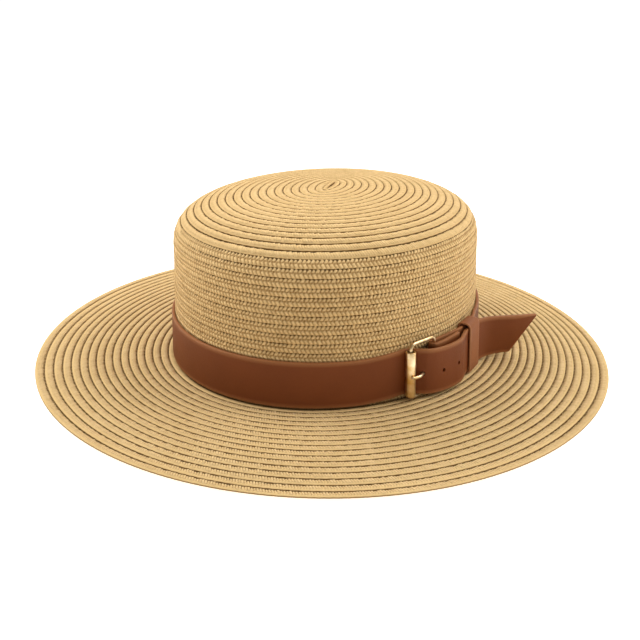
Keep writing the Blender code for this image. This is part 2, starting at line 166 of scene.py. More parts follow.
# The outer strap on its way from the roller to the keeper: shares of that way, of the bulge and of the
# lift that it has beside the buckle
BULGE = (
    {"along": 0.15, "bulge": 0.36, "lift": 1.00},
    {"along": 0.20, "bulge": 0.70, "lift": 0.90},
    {"along": 0.29, "bulge": 0.93, "lift": 0.65},
    {"along": 0.42, "bulge": 1.00, "lift": 0.35},
    {"along": 0.56, "bulge": 1.00, "lift": 0.15},
    {"along": 0.66, "bulge": 0.99, "lift": 0.15},
    {"along": 0.76, "bulge": 0.86, "lift": 0.30},
    {"along": 0.86, "bulge": 0.42, "lift": 0.45},
)

# The free tail past the keeper: shares of its length, of its reach outward, of its lean and of its droop
TAIL = (
    {"along": 0.18, "out": 0.04, "lean": 0.15, "droop": 0.00},
    {"along": 0.38, "out": 0.16, "lean": 0.50, "droop": 0.08},
    {"along": 0.58, "out": 0.38, "lean": 0.85, "droop": 0.25},
    {"along": 0.78, "out": 0.66, "lean": 1.00, "droop": 0.55},
    {"along": 1.00, "out": 1.00, "lean": 1.00, "droop": 1.00},
)

# The prong from its loop to its tip: shares of the frame's span and of the rise to its place on the roller
PRONG = (
    {"along": 0.72, "rise": 0.00},
    {"along": 0.52, "rise": 0.08},
    {"along": 0.41, "rise": 0.25},
    {"along": 0.31, "rise": 0.55},
    {"along": 0.20, "rise": 0.88},
    {"along": 0.10, "rise": 1.00},
    {"along": 0.00, "rise": 1.00},
    {"along": -0.06, "rise": 0.96},
    {"along": -0.11, "rise": 0.87},
)

LAYER = GAP + STRAP_THICKNESS / 2
ROLLER_OUT = GAP + STRAP_THICKNESS + GAP + ROLLER_RADIUS
FOLD_RADIUS = FRAME_WIRE_RADIUS + GAP + STRAP_THICKNESS / 2
HINGE_OUT = LAYER + FOLD_RADIUS
OVER_FOLD = HINGE_OUT + FOLD_RADIUS + STRAP_THICKNESS + GAP
BEHIND_KEEPER = GAP + KEEPER_WALL + LAYER
IN_KEEPER = BEHIND_KEEPER + STRAP_THICKNESS + KEEPER_SLACK
KEEPER_LIFT = KEEPER_WALL + GAP
KEEPER_CENTRE = FRAME_SPAN + KEEPER_FROM_HINGE
KEEPER_START = KEEPER_CENTRE - KEEPER_WIDTH / 2
KEEPER_END = KEEPER_CENTRE + KEEPER_WIDTH / 2
STRAP_MIDDLE = STRAP_LIFT + STRAP_WIDTH / 2
FRAME_LOW = FRAME_WIRE_RADIUS
FRAME_LOW_BEND = FRAME_WIRE_RADIUS + GAP
FRAME_HEIGHT = STRAP_WIDTH + FRAME_SLACK + 2 * FRAME_WIRE_RADIUS
ROLLER_LENGTH = STRAP_WIDTH + FRAME_SLACK - ROLLER_PLAY
BUCKLE_LIFT = FRAME_LOW + FRAME_WIRE_RADIUS + GAP - STRAP_LIFT
FIXED_END_LIFT = BUCKLE_LIFT + FIXED_END_RISE

# The camera, solved from the outlines of the crown, the belt and the brim
CAMERA_AZIMUTH = math.radians(14.15)
CAMERA_ELEVATION = 0.368
CAMERA_ROLL = 0.031
CAMERA_DISTANCE = 0.5578
CAMERA_SIDE = -0.004447
CAMERA_UP = 0.008456
FOCAL_SHARE = 941.6 / 640
SENSOR_WIDTH = 36.0

# The studio: its lights by their angles round the hat, distance, size and power
LIGHTS = (
    {"name": "left_light", "azimuth": -92, "elevation": 48, "distance": 0.75, "size": 0.5, "power": 4.8},
    {"name": "right_light", "azimuth": 106, "elevation": 46, "distance": 0.75, "size": 0.5, "power": 3.8},
    {"name": "back_light", "azimuth": 180, "elevation": 38, "distance": 1.2, "size": 0.8, "power": 3.0},
)
SKY_STRENGTH = 0.36
FLOOR_GLOW = 0.76
FLOOR_TONE = 0.90
FLOOR_RADIUS = 40.0


class Sum:
    """One shader socket, with the operators that add Math nodes."""

    def __init__(self, nodes, socket):
        self.nodes = nodes
        self.socket = socket

    def maths(self, operation, *others):
        return self.nodes.add("ShaderNodeMath", {"operation": operation}, self, *others)

    def __add__(self, other):
        return self.maths("ADD", other)

    def __sub__(self, other):
        return self.maths("SUBTRACT", other)

    def __mul__(self, other):
        return self.maths("MULTIPLY", other)

    def __truediv__(self, other):
        return self.maths("DIVIDE", other)

    def __rsub__(self, other):
        return self.nodes.add("ShaderNodeMath", {"operation": "SUBTRACT"}, other, self)

    __radd__ = __add__
    __rmul__ = __mul__

    def fraction(self):
        return self.maths("FRACT")

    def whole(self):
        return self.maths("FLOOR")

    def size(self):
        return self.maths("ABSOLUTE")

    def step(self, low, high):
        """0 below low, 1 above high, and a smooth rise between them."""
        return self.nodes.add(
            "ShaderNodeMapRange", {"interpolation_type": "SMOOTHSTEP"}, self, low, high, 0.0, 1.0
        )

    def between(self, start, low, high, end):
        """1 from low to high, fading to 0 at start and end."""
        return self.step(start, low) * (1 - self.step(high, end))

    def strokes(self, dark, soft):
        """1 in the middle share of each whole number, 0 past it."""
        return 1 - ((self.fraction() - 0.5).size() * 2).step(dark - soft, dark + soft)


class Nodes:
    """A node tree that grows by one method."""

    def __init__(self, tree):
        self.tree = tree

    def add(self, kind, settings=None, *inputs, out=0, **named):
        """One node: its settings first, then its inputs in order, then those given by name."""
        node = self.tree.nodes.new(kind)
        for key, value in (settings or {}).items():
            setattr(node, key, value)
        sockets = [s for s in node.inputs if s.enabled]
        by_name = {s.name.replace(" ", "_"): s for s in reversed(sockets)}
        for socket, value in zip(sockets, inputs):
            self.feed(socket, value)
        for key, value in named.items():
            self.feed(by_name[key], value)
        found = [s for s in node.outputs if s.enabled]
        return Sum(self, found[out])

    def feed(self, socket, value):
        if isinstance(value, Sum):
            self.tree.links.new(value.socket, socket)
        elif isinstance(value, (tuple, list)) and len(value) == 3 and len(socket.default_value) == 4:
            socket.default_value = (*value, 1.0)
        else:
            socket.default_value = value


class Finish(Nodes):
    """A material of nodes, ending in one Principled shader."""

    def __init__(self, name, roughness, metallic=0.0, specular=0.5):
        self.material = bpy.data.materials.new(name)
        self.material.use_nodes = True
        super().__init__(self.material.node_tree)
        self.shader = self.tree.nodes["Principled BSDF"]
        self.shader.inputs["Roughness"].default_value = roughness
        self.shader.inputs["Metallic"].default_value = metallic
        self.shader.inputs["Specular IOR Level"].default_value = specular

    def attribute(self, name):
        return self.add("ShaderNodeAttribute", {"attribute_name": name}, out=2)

    def places(self):
        return self.add("ShaderNodeTexCoord", out=3)

    def noise(self, where, scale, detail=2.0, roughness=0.5):
        return self.add("ShaderNodeTexNoise", None, where, Scale=scale, Detail=detail, Roughness=roughness)

    def chance(self, number):
        """A random share for each whole number."""
        return self.add("ShaderNodeTexWhiteNoise", {"noise_dimensions": "1D"}, number.whole())

    def mixed(self, share, first, second):
        """A colour between two, by this share."""
        node = self.tree.nodes.new("ShaderNodeMix")
        node.data_type = "RGBA"
        for socket, value in zip((node.inputs[0], node.inputs[6], node.inputs[7]), (share, first, second)):
            self.feed(socket, value)
        return Sum(self, node.outputs[2])

    def colour(self, value):
        self.feed(self.shader.inputs["Base Color"], value)

    def roughness(self, value):
        self.feed(self.shader.inputs["Roughness"], value)

    def relief(self, height, distance, strength=1.0):
        bump = self.add("ShaderNodeBump", None, Strength=strength, Distance=distance, Height=height)
        self.feed(self.shader.inputs["Normal"], bump)


def linear(red, green, blue):
    """A colour as the eye reads it, 0 to 255, as linear light."""
    shares = (red / 255, green / 255, blue / 255)
    return tuple(c / 12.92 if c <= 0.04045 else ((c + 0.055) / 1.055) ** 2.4 for c in shares)


def crown_profile():
    """The wall's profile from its tip to its foot: distance along it, half widths and height."""
    x_shoulder = CROWN_SHORT_HALF - WALL_SLOPE * SHOULDER_HEIGHT
    y_shoulder = CROWN_LONG_HALF - WALL_SLOPE * SHOULDER_HEIGHT
    angle = np.radians(90 - 90 * np.linspace(0, 1, 3000) ** 2)
    share = np.cos(angle).clip(0, 1) ** (2 / SHOULDER_ROUND)
    rise = np.sin(angle) ** (2 / TOP_ROUND)
    down = np.linspace(SHOULDER_HEIGHT, -FOOT_SEAT, 60)[1:]
    x_half = np.concatenate([x_shoulder * share, CROWN_SHORT_HALF - WALL_SLOPE * down])
    y_top = TOP_RIDGE_HALF + (y_shoulder - TOP_RIDGE_HALF) * share
    y_half = np.concatenate([y_top, CROWN_LONG_HALF - WALL_SLOPE * down])
    height = np.concatenate([SHOULDER_HEIGHT + (CROWN_HEIGHT - SHOULDER_HEIGHT) * rise, down])
    mean = (x_half + y_half) / 2
    steps = np.hypot(np.diff(mean), np.diff(height))
    return np.concatenate([[0], np.cumsum(steps)]), x_half, y_half, height


CROWN_REACH, CROWN_X, CROWN_Y, CROWN_Z = crown_profile()
CROWN_LENGTH = CROWN_REACH[-1]
SHOULDER_REACH = CROWN_LENGTH - SHOULDER_HEIGHT - FOOT_SEAT
SEAT = Matrix.Translation(CROWN_PLACE) @ Matrix.Rotation(-CROWN_LEAN, 4, "Y")


def seated(points):
    """Points of the crown's own frame, set in their place on the leaning crown."""
    seat = np.array(SEAT)
    return np.asarray(points) @ seat[:3, :3].T + seat[:3, 3]


def crown_surface(reach, turn):
    """Points of the crown's outer face, this far down from its tip and round it."""
    reach = np.clip(reach, 0.0001, CROWN_LENGTH)
    x = np.interp(reach, CROWN_REACH, CROWN_X) * np.cos(turn)
    back = TIP_BACK * np.clip(1 - reach / (TIP_FADE * SHOULDER_REACH), 0, 1) ** 2
    y = np.interp(reach, CROWN_REACH, CROWN_Y) * np.sin(turn) + back
    low, high = np.zeros_like(x), np.full_like(x, CROWN_LENGTH)
    for _ in range(SEARCH_STEPS):
        middle = (low + high) / 2
        x_half = np.interp(middle, CROWN_REACH, CROWN_X)
        y_half = np.interp(middle, CROWN_REACH, CROWN_Y)
        outside = (x / x_half.clip(1e-9)) ** 2 + (y / y_half) ** 2 > 1
        low = np.where(outside, middle, low)
        high = np.where(outside, high, middle)
    on_side = reach >= TIP_FADE * SHOULDER_REACH
    height = np.interp(np.where(on_side, reach, (low + high) / 2), CROWN_REACH, CROWN_Z)
    return seated(np.stack([x, y, height], -1))


def brim_surface(reach, turn):
    """Points of the brim's upper face, this far out from the crown's wall."""
    reach = np.clip(reach, -STRAW_WALL, BRIM_WIDTH)
    cosine, sine = np.cos(turn), np.sin(turn)
    normal_x, normal_y = cosine / CROWN_SHORT_HALF, sine / CROWN_LONG_HALF
    length = np.hypot(normal_x, normal_y)
    x = CROWN_SHORT_HALF * cosine + normal_x / length * reach
    y = CROWN_LONG_HALF * sine + normal_y / length * reach
    share = np.clip(reach / BRIM_WIDTH, 0, 1)
    held = 1 - np.minimum(1, share / (1 - BRIM_FOOT / BRIM_WIDTH)) ** BRIM_CURVE
    height = STRAW_WALL + (BRIM_RISE + CROWN_LEAN * CROWN_SHORT_HALF * cosine) * held
    return np.stack([x + CROWN_PLACE.x * (1 - share), y + CROWN_PLACE.y * (1 - share), height], -1)


def crown_row(laps):
    """How far down the crown the row's upper edge lies after this many laps."""
    share = laps / CROWN_ROWS
    return CROWN_LENGTH * share * (1 - CROWN_ROW_SPREAD * (1 - share))


def brim_row(laps):
    """How far out the row's inner edge lies. Rows run level and pass to the next one at the back."""
    from_back = laps - 0.25
    whole = np.floor(from_back + 0.5)
    part = np.clip((from_back - whole) / ROW_SHIFT_SHARE + 0.5, 0, 1)
    share = (whole + part * part * (3 - 2 * part)) / BRIM_ROWS
    spread = BRIM_ROW_SPREAD * (np.abs(share) ** BRIM_SPREAD_POWER - share) / BRIM_SPREAD_POWER
    return BRIM_WIDTH * (share + spread)


class Braid:
    """One braid laid round and round on a surface, each row lapped under the one before."""

    def __init__(self, surface, row, first_lap, last_lap):
        self.surface = surface
        self.row = row
        self.laps = np.linspace(first_lap, last_lap, int((last_lap - first_lap) * STEPS_PER_LAP))
        line = surface((row(self.laps) + row(self.laps + 1)) / 2, self.laps * 2 * np.pi)
        self.run = np.concatenate([[0], np.cumsum(np.linalg.norm(np.diff(line, axis=0), axis=1))])
        self.length = self.run[-1]

    def lap_at(self, along):
        return np.interp(along, self.run, self.laps)

    def place(self, along, across, lift):
        """Points of the braid and the surface's outward directions there."""
        laps = self.lap_at(along)
        start = self.row(laps)
        reach = start + across * (self.row(laps + 1) - start)
        turn = np.broadcast_to(laps * 2 * np.pi, reach.shape)
        here = self.surface(reach, turn)
        ahead = self.surface(reach, turn + SMALL_TURN) - self.surface(reach, turn - SMALL_TURN)
        inner = np.maximum(reach - SMALL_REACH, 0.0)
        outward = self.surface(inner + 2 * SMALL_REACH, turn) - self.surface(inner, turn)
        normal = np.cross(outward, ahead)
        normal /= np.linalg.norm(normal, axis=-1, keepdims=True).clip(1e-12)
        return here + normal * lift[..., None], normal


def braid_ribbon(name, braid):
    """The braid itself, a closed ribbon with a dimple at every second step."""
    steps = int(braid.length / BRAID_STEP)
    along = np.linspace(0, braid.length, steps)[:, None]
    section = [*BRAID_TOP, *BRAID_BACK]
    across = np.array([row["across"] for row in section])[None, :]
    lift = np.array([row["lift"] for row in section])[None, :]
    depth = np.array([row["dimple"] for row in section])[None, :]
    deep = (np.arange(steps) % 2)[:, None]
    free_edge = np.clip(across - 0.9, 0, 1) * 10
    scalloped = across + SCALLOP * free_edge * (1 - deep)
    points = braid.place(along, scalloped, lift - DIMPLE * depth * deep)[0]
    mesh = skin(name, points, caps=True)
    ring = len(section)
    add_values(mesh, "along", np.repeat(along[:, 0], ring))
    add_values(mesh, "across", np.tile(across[0], steps))
    add_values(mesh, "row", np.repeat(braid.lap_at(along[:, 0]), ring))
    return add_piece(name, mesh)


def skin(name, rings, closed=False, caps=False):
    """A smooth mesh of quads between rings of equally many points, its ends joined, capped or left open."""
    rings = np.asarray(rings)
    count, ring = rings.shape[:2]
    low = np.arange(count if closed else count - 1)[:, None]
    high = (low + 1) % count
    side = np.arange(ring)[None, :]
    next_side = (side + 1) % ring
    corners = [low * ring + side, low * ring + next_side, high * ring + next_side, high * ring + side]
    faces = np.stack(corners, -1).reshape(-1, 4)
    mesh = bpy.data.meshes.new(name)
    mesh.from_pydata(rings.reshape(-1, 3).tolist(), [], faces.tolist())
    shape = bmesh.new()
    shape.from_mesh(mesh)
    shape.verts.ensure_lookup_table()
    if caps:
        shape.faces.new([shape.verts[i] for i in range(ring)][::-1])
        shape.faces.new([shape.verts[i] for i in range(len(shape.verts) - ring, len(shape.verts))])
    if shape.calc_volume(signed=True) < 0:
        bmesh.ops.reverse_faces(shape, faces=shape.faces)
    shape.to_mesh(mesh)
    shape.free()
    mesh.shade_smooth()
    return mesh


def add_values(mesh, name, values, kind="FLOAT"):
    found = mesh.attributes.new(name, kind, "POINT")
    field = "value" if kind == "FLOAT" else "vector"
    found.data.foreach_set(field, np.asarray(values, dtype=np.float32).ravel())


def add_piece(name, mesh):
    piece = bpy.data.objects.new(name, mesh)
    bpy.context.scene.collection.objects.link(piece)
    return piece


def dress(piece, finish, slot, *nodes):
    """Gives a piece its material and sets it in its nodes' place; its slot is not used."""
    piece.data.materials.clear()
    piece.data.materials.append(finish)
    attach(piece, "root")
    if nodes:
        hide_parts(*nodes)


def strand_tree():
    """Lays one small strand on each point, turned by the point's own directions."""
    tree = bpy.data.node_groups.new("strands", "GeometryNodeTree")
    face = tree.interface
    face.new_socket("Points", in_out="INPUT", socket_type="NodeSocketGeometry")
    for label in ("Width", "Thickness", "Uneven"):
        face.new_socket(label, in_out="INPUT", socket_type="NodeSocketFloat")
    face.new_socket("Seed", in_out="INPUT", socket_type="NodeSocketInt")
    face.new_socket("Straw", in_out="INPUT", socket_type="NodeSocketMaterial")
    face.new_socket("Strands", in_out="OUTPUT", socket_type="NodeSocketGeometry")
    made = Nodes(tree)
    start = tree.nodes.new("NodeGroupInput")
    points, width, thickness, uneven, seed, straw_material = (Sum(made, s) for s in start.outputs[:6])
    size = made.add("ShaderNodeCombineXYZ", None, 1.0, width, thickness)
    strand = made.add("GeometryNodeMeshCube", None, Size=size)
    upward = made.add("GeometryNodeInputNamedAttribute", {"data_type": "FLOAT_VECTOR"}, "upward")
    forward = made.add("GeometryNodeInputNamedAttribute", {"data_type": "FLOAT_VECTOR"}, "forward")
    axes = {"primary_axis": "Z", "secondary_axis": "X"}
    turned = made.add("FunctionNodeAxesToRotation", axes, upward, forward)
    length = made.add("GeometryNodeInputNamedAttribute", {"data_type": "FLOAT"}, "length")
    chance = made.add("FunctionNodeRandomValue", {"data_type": "FLOAT"}, 1 - uneven, 1 + uneven, Seed=seed)
    scale = made.add("ShaderNodeCombineXYZ", None, length * chance, chance, chance)
    laid = made.add(
        "GeometryNodeInstanceOnPoints", None, points, Instance=strand, Rotation=turned, Scale=scale
    )
    real = made.add("GeometryNodeRealizeInstances", None, laid)
    smooth = made.add("GeometryNodeSetShadeSmooth", None, real, Shade_Smooth=True)
    dressed = made.add("GeometryNodeSetMaterial", None, smooth, Material=straw_material)
    end = tree.nodes.new("NodeGroupOutput")
    tree.links.new(dressed.socket, end.inputs[0])
    return tree


def braid_strands(name, braid, stretches, width, tree, finish, seed):
    """The plaited strands on the braid's face. A stretch has its laps, its pitch and its strands."""
    lifts = [[row["across"] for row in BRAID_TOP], [row["lift"] for row in BRAID_TOP]]
    parts = []
    for first_lap, last_lap, pitch, strands in stretches:
        first, last = np.interp([first_lap, last_lap], braid.laps, braid.run)
        for strand in strands:
            along = np.arange(first, last, pitch) + strand["shift"] * pitch
            ends = []
            for share, moved in ((strand["start"], 0.0), (strand["end"], strand["slant"])):
                lift = np.full(len(along), np.interp(share, *lifts) + STRAND_PROUD)
                ends.append(braid.place(along + moved, np.full(len(along), share), lift))
            (tail, normal), (head, _) = ends
            length = np.linalg.norm(head - tail, axis=-1)
            parts.append(((tail + head) / 2, normal, (head - tail) / length[:, None], length, along))
    centre, normal, forward, length, along = (np.concatenate(each) for each in zip(*parts))
    mesh = bpy.data.meshes.new(name)
    mesh.from_pydata(centre.tolist(), [], [])
    add_values(mesh, "upward", normal, "FLOAT_VECTOR")
    add_values(mesh, "forward", forward, "FLOAT_VECTOR")
    add_values(mesh, "length", length)
    add_values(mesh, "along", along)
    piece = add_piece(name, mesh)
    layer = piece.modifiers.new("strands", "NODES")
    layer.node_group = tree
    sockets = {item.name: item.identifier for item in tree.interface.items_tree if item.in_out == "INPUT"}
    layer[sockets["Width"]] = width
    layer[sockets["Thickness"]] = STRAND_THICKNESS
    layer[sockets["Uneven"]] = STRAND_UNEVEN
    layer[sockets["Seed"]] = seed
    layer[sockets["Straw"]] = finish
    made = bpy.data.meshes.new_from_object(piece.evaluated_get(bpy.context.evaluated_depsgraph_get()))
    piece.modifiers.clear()
    piece.data = made
    return piece


def straw(name, pale, deep, side_row):
    """The braid: light straw, with painted shade in the groove, in its dimples, under its free edge and
    between its strands. Past the side row it is knitted open, with painted shade in its gaps.
    """
    made = Finish(name, 0.80, specular=0.12)
    along = made.attribute("along")
    across = made.attribute("across")
    row = made.attribute("row")
    place = made.places()
    dimple = along / (2 * BRAID_STEP)
    # Painted shade in the dimples along the groove, some darker than others
    dimple_shade = dimple.strokes(0.60, 0.22) * (0.55 + made.chance(dimple) * 0.45)
    # Painted shade in the groove, where the row runs in under the free edge of the row before
    groove = 1 - across.step(0.08, 0.25)
    # Painted shade on the free edge's drop, where the row laps over the next one
    shade_under_edge = across.step(0.95, 0.99)
    plait = along / FLAT_PITCH + across * 0.85
    # The gaps between the plaited strands: painted shade in the colour, and sunk in the relief
    strand_gaps = plait.strokes(0.50, 0.28) * (0.4 + made.chance(plait) * 0.6) * across.between(0.0, 0.1, 0.45, 0.9)
    # Past the side row: painted shade in the gaps of the open knit
    open_knit_gaps = row.step(side_row - 0.1, side_row + 0.1) * across.between(0.02, 0.08, 0.90, 0.95)
    broad = made.noise(place, BROAD_STRAW_TONES, 3.0)
    fine = made.noise(place, FINE_BRAID_TONES, 2.0)
    base = made.mixed(broad, linear(*deep), linear(*pale))
    # Painted shade in the open knit's gaps
    with_open_knit_shade = made.mixed(open_knit_gaps * 0.45, base, linear(122, 82, 34))
    # Painted shade in the gaps between the strands
    with_gap_shade = made.mixed(strand_gaps * 0.70, with_open_knit_shade, linear(116, 78, 32))
    # Painted shade in the groove, darkest in its dimples
    with_groove_shade = made.mixed(groove * (0.40 + dimple_shade * 0.46), with_gap_shade, linear(66, 38, 8))
    # Painted shade under the free edge
    with_edge_shade = made.mixed(shade_under_edge * 0.80, with_groove_shade, linear(104, 68, 26))
    made.colour(made.mixed(fine * 0.20, with_edge_shade, linear(164, 124, 72)))
    made.relief((1 - strand_gaps) * 0.7 + fine * 0.3, 0.00025, 0.8)
    return made.material


def strand_straw(name, pale, deep):
    """Single strands of paper straw: each a little darker or lighter than the next, with fine lines."""
    made = Finish(name, 0.72, specular=0.2)
    along = made.attribute("along")
    place = made.places()
    each = made.chance(along / 0.0001)
    fine = made.noise(place, FINE_STRAND_TONES, 2.0)
    broad = made.noise(place, BROAD_STRAW_TONES, 3.0)
    base = made.mixed(broad * 0.6 + each * 0.4, linear(*deep), linear(*pale))
    made.colour(made.mixed(fine * 0.22, base, linear(172, 132, 78)))
    made.relief(fine, 0.0001, 0.5)
    return made.material


def leather(name, face, edge_colour_and_highlight):
    """Smooth brown leather with a fine grain and paler cut edges: partly the edges' own tone, partly a
    painted highlight where they catch light.
    """
    made = Finish(name, 0.50, specular=0.16)
    place = made.places()
    edge = made.attribute("edge")
    broad = made.noise(place, BROAD_LEATHER_TONES, 3.0)
    grain = made.noise(place, LEATHER_GRAIN, 3.0, 0.6)
    pores = made.add("ShaderNodeTexVoronoi", {"feature": "SMOOTH_F1"}, place, Scale=LEATHER_PORES)
    tone = made.mixed(broad, linear(*(c * 0.90 for c in face)), linear(*(c * 1.10 for c in face)))
    # Paler cut edges: the edges' own tone together with a painted highlight where they catch light
    paler_edges_and_highlight = made.mixed(edge, tone, linear(*edge_colour_and_highlight))
    made.colour(made.mixed(grain * 0.20, paler_edges_and_highlight, linear(*(c * 0.6 for c in face))))
    made.roughness(0.42 + grain * 0.2)
    made.relief(grain * 0.6 + pores * 0.4, 0.00012, 0.45)
    return made.material


def brass(name, pale, deep):
    """Satin brass with faint brushing and duller patches."""
    made = Finish(name, 0.30, 1.0)
    place = made.places()
    patches = made.noise(place, BRASS_PATCHES, 4.0, 0.6)
    fine = made.noise(place, BRASS_BRUSHING, 2.0)
    made.colour(made.mixed(patches.step(0.35, 0.70), linear(*pale), linear(*deep)))
    made.roughness(0.24 + patches * 0.16)
    made.relief(fine, 0.00003, 0.3)
    return made.material


def oval_point(turn, out, height=0.0):
    """A point of the crown's outer wall at this ellipse angle, moved out along the oval's own normal."""
    x_half = CROWN_SHORT_HALF - WALL_SLOPE * height
    y_half = CROWN_LONG_HALF - WALL_SLOPE * height
    normal = Vector((math.cos(turn) / x_half, math.sin(turn) / y_half, 0)).normalized()
    return Vector((x_half * math.cos(turn), y_half * math.sin(turn), height)) + normal * out, normal


class WallTrack:
    """Turns a distance along the crown's wall, from the roller, into a place beside the wall."""

    def __init__(self, height):
        self.height = height
        start = math.atan2(
            math.sin(ROLLER_ANGLE) / CROWN_LONG_HALF, math.cos(ROLLER_ANGLE) / CROWN_SHORT_HALF
        )
        self.turns = start + np.linspace(0, 2 * np.pi, 1441)
        line = np.array([oval_point(turn, 0, height)[0] for turn in self.turns])
        self.lengths = np.concatenate([[0], np.cumsum(np.linalg.norm(np.diff(line, axis=0), axis=1))])
        self.whole = self.lengths[-1]

    def place(self, distance, out, height=None):
        """A point this far along and out from the wall. At another height it follows the wall's slope."""
        laps, rest = divmod(distance, self.whole)
        turn = float(np.interp(rest, self.lengths, self.turns)) + laps * 2 * math.pi
        point, normal = oval_point(turn, out, self.height)
        if height is None:
            return point, normal
        climb = height - self.height
        return point + Vector((0, 0, climb)) - normal * WALL_SLOPE * climb, normal


def smooth_line(points, per_stretch):
    """A smooth line through the points, each a tuple of numbers, with this many steps a stretch."""
    ends = np.array([points[0], *points, points[-1]], dtype=float)
    t = (np.arange(per_stretch) / per_stretch)[:, None]
    line = []
    for a, b, c, d in zip(ends, ends[1:], ends[2:], ends[3:]):
        square = (2 * a - 5 * b + 4 * c - d) * t**2 / 2
        line.extend(b + (c - a) * t / 2 + square + (3 * b - a - 3 * c + d) * t**3 / 2)
    return [*line, ends[-1]]


def fixed_end_line():
    """The strap's turned end, its fold round the hinge bar and its way behind the keeper."""
    fold_end = KEEPER_START - FOLD_TO_KEEPER
    fold_top = HINGE_OUT + FOLD_RADIUS
    fold_back = BEHIND_KEEPER + STRAP_THICKNESS + GAP
    length = fold_end - FRAME_SPAN
    turned_end = [
        (fold_end, fold_back),
        (fold_end - length * 0.35, fold_back + (fold_top - fold_back) * 0.15),
        (fold_end - length * 0.70, fold_back + (fold_top - fold_back) * 0.80),
        (FRAME_SPAN, fold_top),
    ]
    turns = np.linspace(math.pi / 2, math.pi * 1.5, 25)
    bend = np.stack([FRAME_SPAN + FOLD_RADIUS * np.cos(turns), HINGE_OUT + FOLD_RADIUS * np.sin(turns)], -1)
    beside = [
        (FRAME_SPAN, LAYER),
        (FRAME_SPAN + length * 0.40, LAYER),
        (FRAME_SPAN + length * 0.80, LAYER + (BEHIND_KEEPER - LAYER) * 0.30),
        (KEEPER_START - KEEPER_WIDTH * 0.15, BEHIND_KEEPER),
        (KEEPER_END + KEEPER_WIDTH * 0.15, BEHIND_KEEPER),
        (KEEPER_END + KEEPER_WIDTH * 1.30, LAYER),
    ]
    return [*smooth_line(turned_end, 8)[:-1], *bend, *smooth_line(beside, 12)[1:]]


def outer_line(whole):
    """The strap's last stretch: under the roller, over the fold, through the keeper and out as a tail."""
    in_lift = KEEPER_LIFT - STRAP_LIFT
    wrap = ROLLER_RADIUS + GAP + STRAP_THICKNESS / 2
    line = [
        (whole - STRAP_WIDTH, LAYER, 0.0, 0.0),
        (whole - STRAP_WIDTH / 2, LAYER, BUCKLE_LIFT * 0.5, 0.0),
        (whole - ROLLER_RADIUS, LAYER, BUCKLE_LIFT, 0.0),
    ]
    for degrees in WRAP_TURNS:
        turn = math.radians(degrees)
        line.append((whole + wrap * math.sin(turn), ROLLER_OUT - wrap * math.cos(turn), BUCKLE_LIFT, 0.0))
    peak = OVER_FOLD + BULGE_OUT
    for row in BULGE:
        low = ROLLER_OUT if row["along"] < 0.5 else IN_KEEPER
        out = low + (peak - low) * row["bulge"]
        line.append((whole + KEEPER_START * row["along"], out, BUCKLE_LIFT * row["lift"], 0.0))
    line.append((whole + KEEPER_START, IN_KEEPER, in_lift, 0.0))
    line.append((whole + KEEPER_END, IN_KEEPER, in_lift, 0.0))
    for row in TAIL:
        along = whole + KEEPER_END + TAIL_LENGTH * row["along"]
        out = IN_KEEPER + TAIL_OUT * row["out"]
        line.append((along, out, in_lift - TAIL_DROOP * row["droop"], TAIL_LEAN * row["lean"]))
    return smooth_line(line, 8)


def strap_stations(whole):
    """The strap's whole way: along the wall, out from it, lift and lean."""
    fixed = [(along, out, FIXED_END_LIFT, 0.0) for along, out in fixed_end_line()]
    outer = outer_line(whole)
    start, end = fixed[-1][0], outer[0][0]
    shares = np.linspace(0, 1, 301)[1:-1]
    way_round = []
    for share in shares:
        lift = FIXED_END_LIFT * max(0.0, 1 - 2 * share)
        way_round.append((start + (end - start) * share, LAYER, lift, 0.0))
    return [*fixed, *way_round, *outer]


def strap_outline(low, high):
    """A strap's section with rounded edges: places out from its middle, up, and how near a cut edge."""
    side = STRAP_THICKNESS / 2
    bend = STRAP_EDGE
    points = []
    for out_sign, up_sign, start in ((1, 1, 0), (-1, 1, 90), (-1, -1, 180), (1, -1, 270)):
        level = high if up_sign > 0 else low
        for degrees in (0, 30, 60, 90):
            turn = math.radians(start + degrees)
            out = out_sign * (side - bend) + bend * math.cos(turn)
            points.append((out, level - up_sign * bend + bend * math.sin(turn), 1.0))
        if out_sign == up_sign:
            continue
        other = low if up_sign > 0 else high
        for share in np.linspace(0, 1, 13)[1:-1]:
            up = level - up_sign * bend + (other + up_sign * bend - level + up_sign * bend) * share
            points.append((out_sign * side, up, 0.0))
    return points


